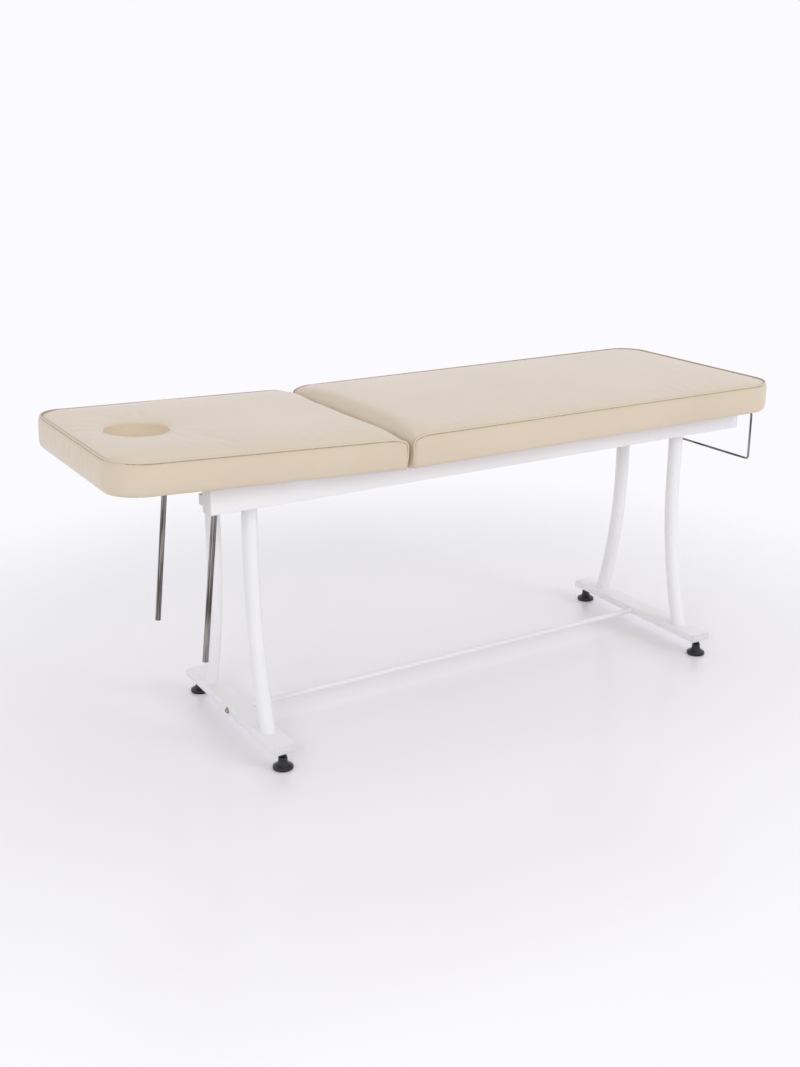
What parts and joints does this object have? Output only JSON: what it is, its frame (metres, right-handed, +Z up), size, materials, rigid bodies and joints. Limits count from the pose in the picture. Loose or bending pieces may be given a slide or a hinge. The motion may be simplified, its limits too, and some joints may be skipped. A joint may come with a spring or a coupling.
{
  "type": "massage table",
  "caption": "Massage table with a long fixed padded section and a tilting head section with a face hole, on a white steel frame with bowed legs and sliding chrome rods.",
  "frame": {"origin": "on the floor, under the middle of the table's length and width", "axes": "+X along the table towards the foot end, +Z up, the head section at -X"},
  "size_m": [1.8642, 0.624, 0.8119],
  "materials": {
    "leatherette": "smooth coated fabric with a soft sheen",
    "piping": "coated fabric cord",
    "plywood": "raw plywood",
    "white_paint": "semi-gloss powder coat",
    "white_plastic": "moulded",
    "black_plastic": "moulded",
    "black_steel": "blackened",
    "zinc_steel": "zinc plated",
    "chrome": "polished",
    "rubber": "matt"
  },
  "bodies": {
    "frame": {"base_bar_caps": "white_plastic", "base_bar_foot": "white_paint", "base_bar_head": "white_paint", "clip_screws": "zinc_steel", "cross_bar_foot": "white_paint", "cross_bar_joint": "white_paint", "cross_bar_middle": "white_paint", "foot_inserts": "zinc_steel", "head_rest_bar": "white_paint", "hinge_leaf_main_far": "zinc_steel", "hinge_leaf_main_near": "zinc_steel", "hinge_pins": "zinc_steel", "hinge_screws_main": "zinc_steel", "leg_foot_far": "white_paint", "leg_foot_near": "white_paint", "leg_head_far": "white_paint", "leg_head_near": "white_paint", "main_board": "plywood", "main_board_screws": "zinc_steel", "main_cushion": "leatherette", "main_piping": "piping", "rail_end_caps": "white_plastic", "rail_far": "white_paint", "rail_near": "white_paint", "rest_bumpers": "rubber", "rod_guide_far": "white_plastic", "rod_guide_near": "white_plastic", "roll_clips": "white_plastic", "stretcher": "white_paint", "stretcher_bolts": "chrome", "stretcher_plugs": "zinc_steel", "top_bar_foot": "white_paint", "top_bar_head": "white_paint"},
    "head_section": {"bracket_screws": "zinc_steel", "face_hole_liner": "leatherette", "head_board": "plywood", "head_cushion": "leatherette", "head_piping": "piping", "hinge_leaf_head_far": "zinc_steel", "hinge_leaf_head_near": "zinc_steel", "hinge_screws_head": "zinc_steel", "rod_bracket_far": "zinc_steel", "rod_bracket_near": "zinc_steel", "rod_pins": "zinc_steel"},
    "rod_near": {"support_rod_near": "chrome"},
    "rod_far": {"support_rod_far": "chrome"},
    "knob_near": {"lock_knob_near": "black_plastic", "lock_screw_near": "zinc_steel"},
    "knob_far": {"lock_knob_far": "black_plastic", "lock_screw_far": "zinc_steel"},
    "roll_stirrup": {"roll_holder": "chrome"},
    "foot_head_near": {"foot_pad_head_near": "black_plastic", "foot_stud_head_near": "black_steel"},
    "foot_head_far": {"foot_pad_head_far": "black_plastic", "foot_stud_head_far": "black_steel"},
    "foot_foot_near": {"foot_pad_foot_near": "black_plastic", "foot_stud_foot_near": "black_steel"},
    "foot_foot_far": {"foot_pad_foot_far": "black_plastic", "foot_stud_foot_far": "black_steel"}
  },
  "joints": [
    {"name": "head_tilt", "type": "hinge", "parent": "frame", "child": "head_section", "pos_m": [-0.23275, 0, 0.752], "axis": [0, 1, 0], "range_deg": [-2.2, 42.8]},
    {"name": "rod_swing_near", "type": "hinge", "parent": "head_section", "child": "rod_near", "pos_m": [-0.64794, -0.15, 0.70801], "axis": [0, 1, 0], "range_deg": [-36, 2.5]},
    {"name": "rod_swing_far", "type": "hinge", "parent": "head_section", "child": "rod_far", "pos_m": [-0.64794, 0.15, 0.70801], "axis": [0, 1, 0], "range_deg": [-36, 2.5]},
    {"name": "lock_turn_near", "type": "hinge", "parent": "frame", "child": "knob_near", "pos_m": [-0.66075, -0.13, 0.662], "axis": [0, 1, 0], "range_deg": [0, 270]},
    {"name": "lock_turn_far", "type": "hinge", "parent": "frame", "child": "knob_far", "pos_m": [-0.66075, 0.13, 0.662], "axis": [0, 1, 0], "range_deg": [0, 270]},
    {"name": "roll_swing", "type": "hinge", "parent": "frame", "child": "roll_stirrup", "pos_m": [0.88875, 0, 0.694], "axis": [0, 1, 0], "range_deg": [-80, 50]},
    {"name": "level_head_near", "type": "slide", "parent": "frame", "child": "foot_head_near", "axis": [0, 0, -1], "range_m": [0, 0.012]},
    {"name": "level_head_far", "type": "slide", "parent": "frame", "child": "foot_head_far", "axis": [0, 0, -1], "range_m": [0, 0.012]},
    {"name": "level_foot_near", "type": "slide", "parent": "frame", "child": "foot_foot_near", "axis": [0, 0, -1], "range_m": [0, 0.012]},
    {"name": "level_foot_far", "type": "slide", "parent": "frame", "child": "foot_foot_far", "axis": [0, 0, -1], "range_m": [0, 0.012]}
  ],
  "couplings": [
    {"joint": "rod_swing_near", "follows": "head_tilt", "ratio": -0.82},
    {"joint": "rod_swing_far", "follows": "head_tilt", "ratio": -0.82}
  ]
}
